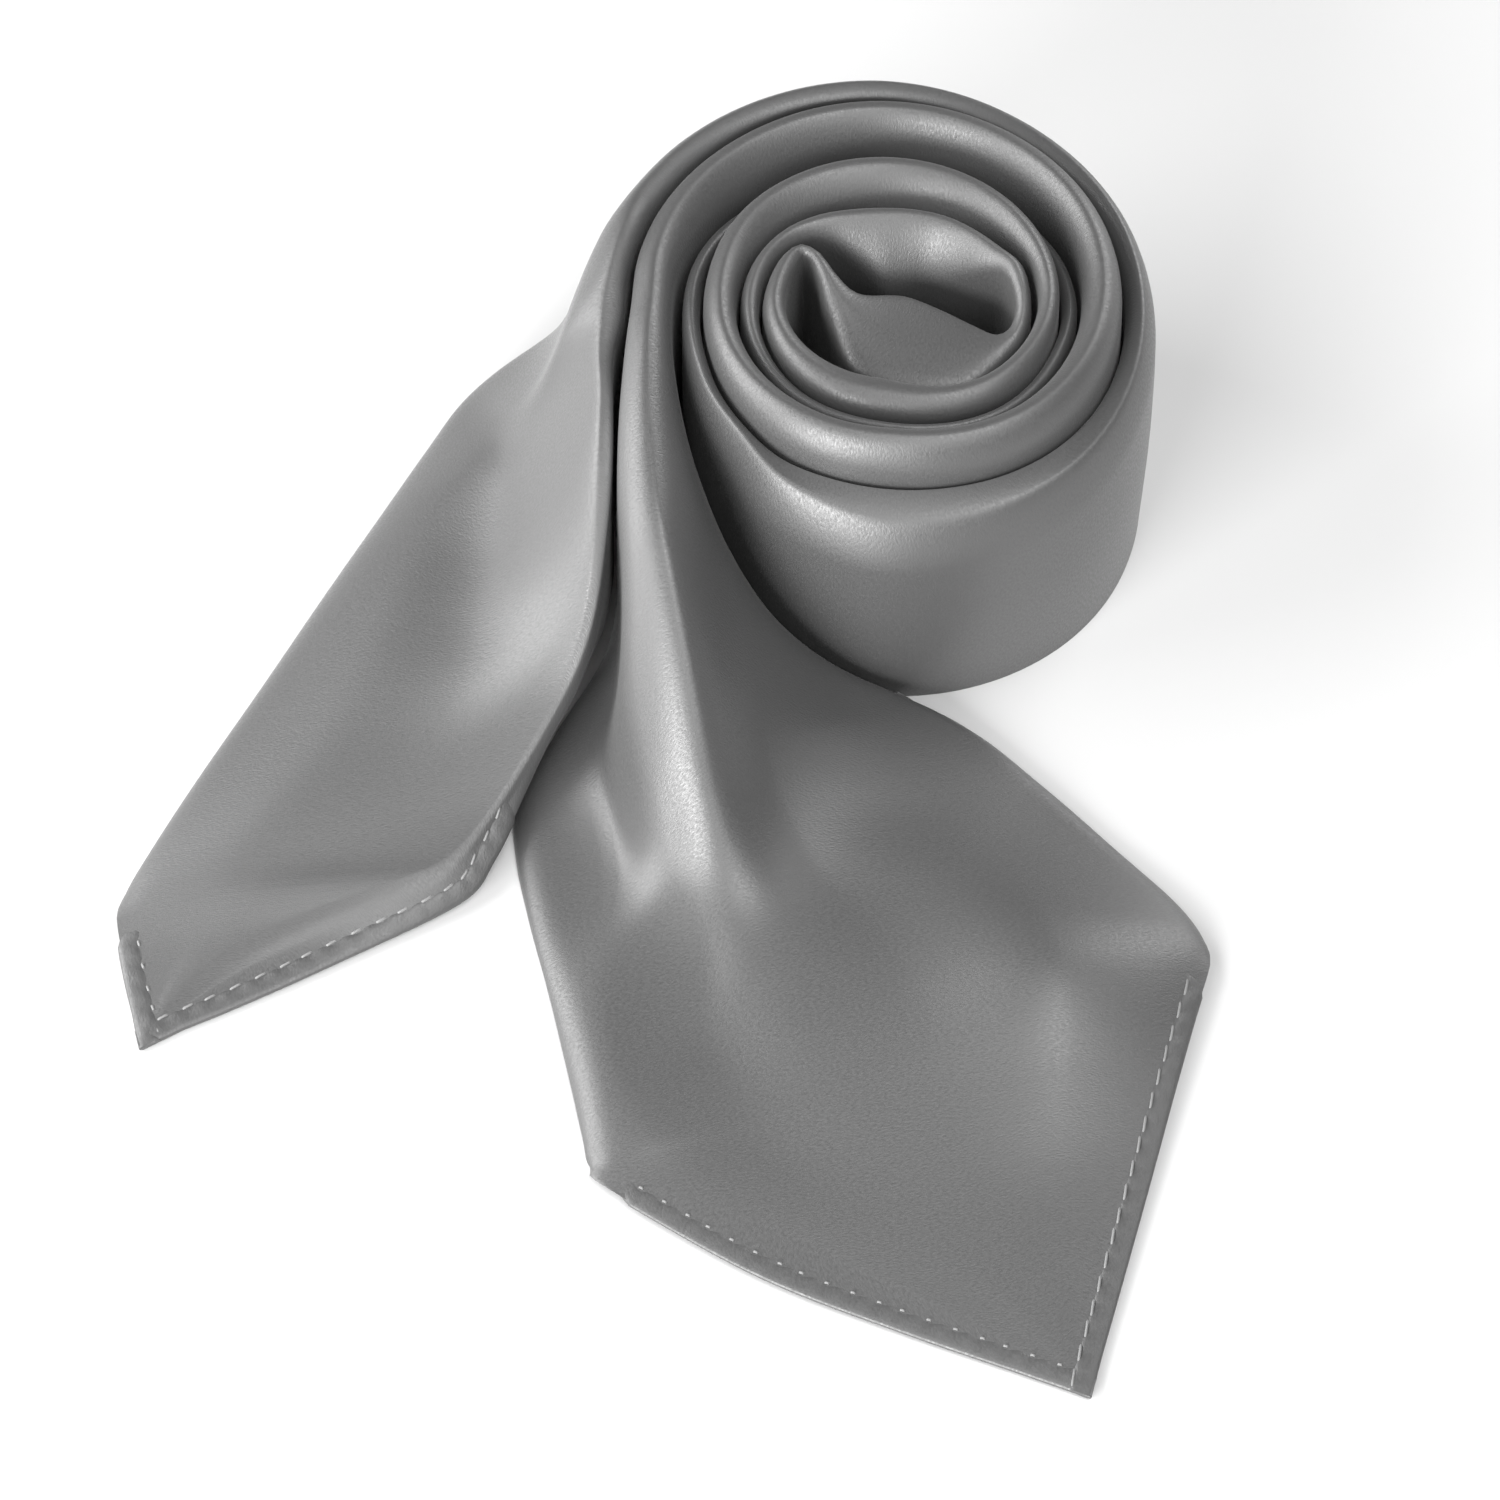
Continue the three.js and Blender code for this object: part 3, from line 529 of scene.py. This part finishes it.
class Sheet:
    """Vertices, faces and cloth coordinates of the one sheet of cloth."""

    def __init__(self):
        self.points, self.cloth, self.faces = [], [], []

    def add(self, point, u, v):
        self.points.append(point)
        self.cloth.append((u, v, 0.0))
        return len(self.points) - 1

    def strip(self, rows, flip):
        """Joins neighbouring rows of vertex numbers with faces, leaving out the empty ones."""
        for one, two in zip(rows, rows[1:]):
            for a, b, c, d in zip(one, one[1:], two[1:], two):
                corners = list(dict.fromkeys([a, b, c, d]))
                if len(corners) > 2:
                    self.faces.append(corners[::-1] if flip else corners)


def under_sequence(side, columns, layers):
    """The columns that a hidden flap passes, layer by layer: (layer, column) pairs."""
    there = columns if side == "left" else columns[::-1]
    pairs = []
    for layer in range(layers):
        run = there if layer % 2 == 0 else there[::-1]
        pairs.extend((layer + 1, column) for column in run)
    return pairs


def chord_rise(line, normals, columns):
    """How far the straight ways between some of a section's points rise over its line."""
    rise = dict.fromkeys(columns, 0.0)
    for one, two in zip(columns, columns[1:]):
        t = np.linspace(0, 1, two - one + 1)[:, None]
        chord = line[one] * (1 - t) + line[two] * t
        over = ((chord - line[one : two + 1]) * normals[one : two + 1]).sum(axis=1).max()
        rise[one], rise[two] = max(rise[one], over), max(rise[two], over)
    return rise


def hidden_points(line, normals, pairs, columns, step, above, openness):
    """The points that a hidden flap passes below one section, from the folded edge on."""
    rise = chord_rise(line, normals, columns)
    for layer, column in pairs:
        clear = np.interp(line[column, 2], UNDER_CLEAR, (0, UNDER_DROP))
        depth = (above + layer) * step + (clear + rise[column]) * openness
        point = line[column] - normals[column] * depth
        point[2] = max(point[2], UNDER_FLOOR)
        yield point


def cut_to_length(start, points, length):
    """A way from a start through some points, cut at a length: (point, way so far) pairs."""
    way, gone, before = [], 0.0, start
    for point in points:
        step = float(np.linalg.norm(point - before))
        if gone + step >= length:
            share = (length - gone) / max(step, TINY)
            if share > UNDER_LEAST:
                way.append((before + (point - before) * share, length))
            break
        gone += step
        way.append((point, gone))
        before = point
    return way


def add_flap(sheet, side, lines, normals, along, across, extents, facts, edge_rows):
    """The cloth beyond a folded edge, folded to and fro below the visible layer."""
    last = lines.shape[1] - 1
    middle = last // 2
    half = list(range(1, middle, UNDER_COLUMNS))
    columns = [*half, middle, *[last - c for c in reversed(half)]]
    mine = extents[0] if side == "left" else extents[1]
    width = float(across[:, -1].mean())
    pairs = under_sequence(side, columns, math.ceil(mine.max() / width) + 1)
    rows = []
    for i, edge in enumerate(edge_rows):
        layers = UNDER_SPARE + (extents[0][i] + extents[1][i]) / width
        step = min(UNDER_STEP, UNDER_SHARE * facts[i, 1] / layers)
        above = 0 if side == "left" else 1 + extents[0][i] / width
        points = hidden_points(lines[i], normals[i], pairs, columns, step, above, facts[i, 0])
        start = lines[i, 0 if side == "left" else last]
        row = [edge]
        for point, gone in cut_to_length(start, points, mine[i]):
            row.append(sheet.add(point, along[i], gone + across[i, middle]))
        row.extend([row[-1]] * (len(pairs) + 1 - len(row)))
        rows.append(row)
    sheet.strip(rows, side == "right")


def cloth_sheet():
    """The whole sheet, and its visible layer alone as points and faces."""
    guides, facts = refine(*all_rows())
    lines = upper_lines(guides)
    lines = evened(lines, ways(lines)[0], facts[:, 4:6])
    normals = normals_of(lines)
    along, across = ways(lines)
    lines = turn_edges_down(lines, normals, across, facts)
    lines = sink_tips(lines, along)
    normals = normals_of(lines)
    sheet = Sheet()
    middle = lines.shape[1] // 2
    visible = [
        [sheet.add(p, along[i], across[i, middle] - across[i, j]) for j, p in enumerate(line)]
        for i, line in enumerate(lines)
    ]
    sheet.strip(visible, False)
    surface = (list(sheet.points), list(sheet.faces))
    extents = hidden_extents(along, facts)
    for side, column in (("left", 0), ("right", -1)):
        edges = [row[column] for row in visible]
        add_flap(sheet, side, lines, normals, along, across, extents, facts, edges)
    return sheet, surface


def placed(points):
    """Points of the coil's own frame, in millimetres, as points of the part's frame in metres."""
    moved = np.array(points, float) + np.array([*COIL_AXIS, 0.0])
    return [tuple(p * MM) for p in moved]


def mesh_piece(name, points, faces, material, cloth=None):
    """An object of points and faces, with their places on the flat cloth where those are given."""
    mesh = bpy.data.meshes.new(name)
    mesh.from_pydata(placed(points), [], faces)
    mesh.materials.append(material)
    if cloth is not None:
        attribute = mesh.attributes.new("cloth", "FLOAT_VECTOR", "POINT")
        attribute.data.foreach_set("vector", (np.array(cloth, np.float32) * MM).ravel())
    mesh.shade_smooth()
    mesh.set_sharp_from_angle(angle=math.radians(SHARP_ANGLE))
    piece = bpy.data.objects.new(name, mesh)
    bpy.context.scene.collection.objects.link(piece)
    return piece


def hem_frames(line, sign, tree):
    """Points along a hem's outer edge, each with the ways along it, inwards over the cloth and up,
    from where the cloth under it is level enough."""
    tangents = np.array([unit(way) for way in np.gradient(line, axis=0)])
    flat = np.stack([-tangents[:, 1], tangents[:, 0], np.zeros(len(line))], axis=1) * sign
    ups = []
    for spot in line + flat * STITCH_LINE:
        up = np.array(tree.find_nearest(Vector(spot))[1])
        ups.append(up if up[2] >= 0 else -up)
    ups = np.array(ups)
    steep = np.nonzero(ups[: len(ups) // 2, 2] < HEM_LEVEL)[0]
    start = steep[-1] + 1 if len(steep) else 0
    line, tangents, ups = line[start:], tangents[start:], ups[start:]
    frames = []
    for i, (point, tangent) in enumerate(zip(line, tangents)):
        near = ups[max(i - HEM_EASE, 0) : i + HEM_EASE + 1]
        up = unit(near.mean(axis=0))
        inwards = unit(np.cross(up, tangent)) * sign
        frames.append((point, tangent, inwards, up))
    return frames


def over_cloth(tree, frame, way, height):
    """The point at a way in from a hem's edge and a height over the cloth there."""
    point, _, inwards, up = frame
    base = point + inwards * way
    place = np.array(tree.find_nearest(Vector(base))[0])
    spot = base + up * (float(np.dot(place - base, up)) + height)
    spot[2] = max(spot[2], UNDER_FLOOR)
    return spot


def trimmed(point, corner, inwards):
    """A point moved inside the line through a corner that it must not pass."""
    outside = min(float(np.dot(point - corner, inwards)), 0)
    return point - inwards * outside


def hem_rings(frames, other, tree, lap):
    """Sections of a hem along its edge, each a closed ring that ends at the corner's other edge."""
    along = np.arange(len(frames)) * HEM_STEP
    corner, _, other_inwards, _ = other
    rings = []
    for frame, s in zip(frames, along):
        start = min(s / HEM_FADE, 1)
        wave = math.cos(2 * math.pi * s / STITCH_PITCH)
        ring = []
        for way, height in HEM_RELIEF:
            way = way + HEM_TAPER * (1 - start)
            near_seam = math.exp(-((way - STITCH_LINE) ** 2))
            lift = height + PUCKER * wave * near_seam + lap
            lift = lift * start - HEM_HIDE * (1 - start)
            ring.append(trimmed(over_cloth(tree, frame, way, lift), corner, other_inwards))
        rings.append(ring)
    return rings


def closed_tube(rings):
    """Points and faces of rings joined into one closed body."""
    count = len(rings[0])
    points = [p for ring in rings for p in ring]
    faces = []
    for i in range(len(rings) - 1):
        for j in range(count):
            k = (j + 1) % count
            a, b = i * count + j, i * count + k
            faces.append((a, b, b + count, a + count))
    end = (len(rings) - 1) * count
    faces.append(tuple(range(count))[::-1])
    faces.append(tuple(range(end, end + count)))
    return points, faces


def joined(parts):
    """Several bodies' points and faces as one list of each."""
    points, faces = [], []
    for some_points, some_faces in parts:
        start = len(points)
        points.extend(some_points)
        faces.extend(tuple(start + k for k in face) for face in some_faces)
    return points, faces


def face_out(piece):
    """Turns the faces of closed bodies outwards."""
    shape = bmesh.new()
    shape.from_mesh(piece.data)
    bmesh.ops.recalc_face_normals(shape, faces=shape.faces)
    shape.to_mesh(piece.data)
    shape.free()


def stitch(tree, frame, length, height, sign):
    """One stitch: a short thread with rounded ends that dip into the cloth."""
    centre = over_cloth(tree, frame, STITCH_LINE, height)
    _, tangent, inwards, up = frame
    way = unit(tangent * math.cos(STITCH_TURN) + inwards * math.sin(STITCH_TURN) * sign)
    side = unit(np.cross(up, way))
    rings = []
    for place, radius, drop in STITCH_SHAPE:
        middle = centre + way * (place * length / 2) - up * drop
        ring = []
        for k in range(THREAD_SIDES):
            turn = 2 * math.pi * k / THREAD_SIDES
            spoke = side * math.cos(turn) + up * math.sin(turn)
            ring.append(middle + spoke * radius * THREAD_RADIUS)
        rings.append(ring)
    return closed_tube(rings)


def hem_piece(name, hem, tree, material):
    """The hem of one tail: the turned edge on both sides of its corner."""
    parts = []
    frames = {side: hem_frames(*hem_line(hem, side), tree) for side in hem}
    for side, other, lap in (("left", "right", HEM_LAP), ("right", "left", 0.0)):
        rings = hem_rings(frames[side], frames[other][-1], tree, lap)
        parts.append(closed_tube(rings))
    points, faces = joined(parts)
    piece = mesh_piece(name, points, faces, material, points)
    face_out(piece)
    return piece


def seam_piece(name, tail, hem, tree, material):
    """The stitches that show on one tail's hem."""
    parts = []
    for _, side, length, height in [seam for seam in SEAMS if seam[0] == tail]:
        line, sign = hem_line(hem, side)
        frames = hem_frames(line, sign, tree)
        pitch = STITCH_PITCH / HEM_STEP
        count = int((len(frames) - 1) / pitch)
        for k in range(1, count):
            frame = frames[round((k + 0.5) * pitch)]
            parts.append(stitch(tree, frame, length, height, sign))
    points, faces = joined(parts)
    piece = mesh_piece(name, points, faces, material)
    face_out(piece)
    return piece


# Looks. The heights of bumps are in metres.
SILK = {"color": 0.06, "rough": 0.46, "specular": 1.0, "sheen": 0.1}
HEM = {"color": 0.06, "rough": 0.48, "specular": 0.9, "sheen": 0.1}
THREAD = {"color": 0.2, "rough": 0.6, "specular": 0.5, "sheen": 0.3}
GRAIN = 4400.0  # grains to the metre
GRAIN_ROUGHNESS = 0.12  # how far it changes the roughness, up and down
GRAIN_HEIGHT = 0.00006
STREAKS = 700.0  # streaks to the metre, along one thread direction
STREAK_STRETCH = 0.04  # scale of the streaks along their threads
STREAK_HEIGHT = 0.00002
THREAD_ANGLE = 45.0  # degrees between the cloth's threads and the band
GRAIN_STRETCH = 0.5  # scale of the grain along its threads
GRAIN_DETAIL, GRAIN_FALL = 2.0, 0.6  # detail of the noise, and how rough that detail is
GRAIN_LOW, GRAIN_HIGH = 0.3, 0.7  # the part of the noise's range that changes the roughness
STREAK_DETAIL, STREAK_FALL = 1.0, 0.5
BUMP_STRENGTH = 0.6
SHEEN_ROUGHNESS = 0.4
FLOOR_COLOR = 0.61
FLOOR_ROUGHNESS = 0.9


def grey(value):
    return (value, value, value, 1.0)


def link(tree, source, target):
    tree.links.new(source, target)


def node(tree, kind, **values):
    """A new shader node, with some of its inputs or settings by name."""
    made = tree.nodes.new(kind)
    for name, value in values.items():
        if name in made.inputs:
            made.inputs[name].default_value = value
        else:
            setattr(made, name, value)
    return made


def set_inputs(made, values):
    for name, value in values.items():
        made.inputs[name].default_value = value


def along_threads(tree, place, stretch):
    """A place on the cloth, turned to its threads and scaled along one of them."""
    turn = (0, 0, math.radians(THREAD_ANGLE))
    turned = node(tree, "ShaderNodeMapping", Rotation=turn, Scale=(1.0, stretch, 1.0))
    link(tree, place.outputs["Vector"], turned.inputs["Vector"])
    return turned.outputs["Vector"]


def cloth_material(name, look):
    """Satin: a soft gloss over fine grain that follows the cloth's own threads."""
    material = bpy.data.materials.new(name)
    material.use_nodes = True
    tree = material.node_tree
    shader = tree.nodes["Principled BSDF"]
    set_inputs(shader, {
        "Base Color": grey(look["color"]), "Specular IOR Level": look["specular"],
        "Sheen Weight": look["sheen"], "Sheen Roughness": SHEEN_ROUGHNESS,
    })
    place = node(tree, "ShaderNodeAttribute", attribute_name="cloth")
    grain = node(tree, "ShaderNodeTexNoise", Scale=GRAIN, Detail=GRAIN_DETAIL, Roughness=GRAIN_FALL)
    link(tree, along_threads(tree, place, GRAIN_STRETCH), grain.inputs["Vector"])
    rough = node(tree, "ShaderNodeMapRange")
    set_inputs(rough, {
        "From Min": GRAIN_LOW, "From Max": GRAIN_HIGH,
        "To Min": look["rough"] - GRAIN_ROUGHNESS, "To Max": look["rough"] + GRAIN_ROUGHNESS,
    })
    link(tree, grain.outputs["Fac"], rough.inputs["Value"])
    link(tree, rough.outputs["Result"], shader.inputs["Roughness"])
    streaks = node(tree, "ShaderNodeTexNoise", Scale=STREAKS, Detail=STREAK_DETAIL,
                   Roughness=STREAK_FALL)
    link(tree, along_threads(tree, place, STREAK_STRETCH), streaks.inputs["Vector"])
    swell = node(tree, "ShaderNodeBump", Strength=BUMP_STRENGTH, Distance=STREAK_HEIGHT)
    link(tree, streaks.outputs["Fac"], swell.inputs["Height"])
    bump = node(tree, "ShaderNodeBump", Strength=BUMP_STRENGTH, Distance=GRAIN_HEIGHT)
    link(tree, grain.outputs["Fac"], bump.inputs["Height"])
    link(tree, swell.outputs["Normal"], bump.inputs["Normal"])
    link(tree, bump.outputs["Normal"], shader.inputs["Normal"])
    return material


# Stage. The camera's lengths are in millimetres, those of the lights and the floor in metres.
CAMERA_AIM = (9.0, 6.55, 0.0)
CAMERA_HEIGHT_ANGLE = 54.0
CAMERA_WAY = 620.0
CAMERA_LENS = 142.85
SENSOR = 36.0
FLOOR_HALF = 3.0

# Columns: name, direction round the scarf's middle (0 in front, 90 right), height angle, way and
# size in metres, power in watts.
LIGHTS = (
    ("key_light", -32.0, 18.0, 0.6, 0.36, 7.0),
    ("right_light", 34.0, 50.0, 0.8, 0.6, 3.4),
    ("left_light", -100.0, 28.0, 0.32, 0.3, 1.8),
    ("top_light", 58.0, 73.0, 0.9, 0.4, 2.8),
    ("back_light", 136.0, 24.0, 0.7, 0.4, 2.4),
)
SKY = 0.1  # strength of the even light from all round


def look_at(thing, place, aim):
    thing.location = place
    way = Vector(aim) - Vector(place)
    thing.rotation_euler = way.to_track_quat("-Z", "Y").to_euler()


def direction(round_angle, height_angle):
    """The way from the scarf to something round and above it."""
    a, e = math.radians(round_angle), math.radians(height_angle)
    return Vector((math.sin(a) * math.cos(e), -math.cos(a) * math.cos(e), math.sin(e)))


def make_camera(scene):
    aim = Vector(CAMERA_AIM) * MM
    lens = bpy.data.cameras.new("camera")
    lens.lens, lens.sensor_width = CAMERA_LENS, SENSOR
    camera = bpy.data.objects.new("camera", lens)
    look_at(camera, aim + direction(0, CAMERA_HEIGHT_ANGLE) * CAMERA_WAY * MM, aim)
    scene.collection.objects.link(camera)
    scene.camera = camera


def make_lights(scene):
    for name, turn, height, way, size, power in LIGHTS:
        light = bpy.data.lights.new(name, "AREA")
        light.energy, light.size = power, size
        lamp = bpy.data.objects.new(name, light)
        look_at(lamp, direction(turn, height) * way, (0, 0, 0))
        scene.collection.objects.link(lamp)
    world = scene.world or bpy.data.worlds.new("world")
    scene.world = world
    world.use_nodes = True
    sky = world.node_tree.nodes["Background"]
    sky.inputs["Color"].default_value = grey(1.0)
    sky.inputs["Strength"].default_value = SKY


def make_floor(scene):
    corners = [(x * FLOOR_HALF, y * FLOOR_HALF, 0) for x, y in ((-1, -1), (1, -1), (1, 1), (-1, 1))]
    mesh = bpy.data.meshes.new("floor")
    mesh.from_pydata(corners, [], [(0, 1, 2, 3)])
    floor = bpy.data.objects.new("floor", mesh)
    scene.collection.objects.link(floor)
    paint = bpy.data.materials.new("floor")
    paint.use_nodes = True
    shader = paint.node_tree.nodes["Principled BSDF"]
    set_inputs(shader, {"Base Color": grey(FLOOR_COLOR), "Roughness": FLOOR_ROUGHNESS})
    mesh.materials.append(paint)
    floor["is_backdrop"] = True


def main():
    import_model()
    cad_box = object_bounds()
    silk = cloth_material("silk", SILK)
    hem_silk = cloth_material("hem_silk", HEM)
    thread = cloth_material("thread", THREAD)
    sheet, (points, faces) = cloth_sheet()
    tree = BVHTree.FromPolygons([Vector(p) for p in points], faces)
    cloth = mesh_piece("silk_sheet", sheet.points, sheet.faces, silk, sheet.cloth)
    front_hem = hem_piece("front_hem", FRONT_HEM, tree, hem_silk)
    back_hem = hem_piece("back_hem", BACK_HEM, tree, hem_silk)
    front_seam = seam_piece("front_stitches", "front", FRONT_HEM, tree, thread)
    back_seam = seam_piece("back_stitches", "back", BACK_HEM, tree, thread)
    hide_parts("silk_cloth")
    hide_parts("front_tail_hem")
    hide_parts("back_tail_hem")
    for piece, slot in ((cloth, "silk"), (front_hem, "hem"), (back_hem, "hem"),
                        (front_seam, "thread"), (back_seam, "thread")):
        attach(piece, "root")
    scene = bpy.context.scene
    make_camera(scene)
    make_lights(scene)
    make_floor(scene)
    scene.view_settings.view_transform = "Standard"
    boxes = {"cad": cad_box, "visual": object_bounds()}
    {k: [list(map(float, c)) for c in box] for k, box in boxes.items()}


main()
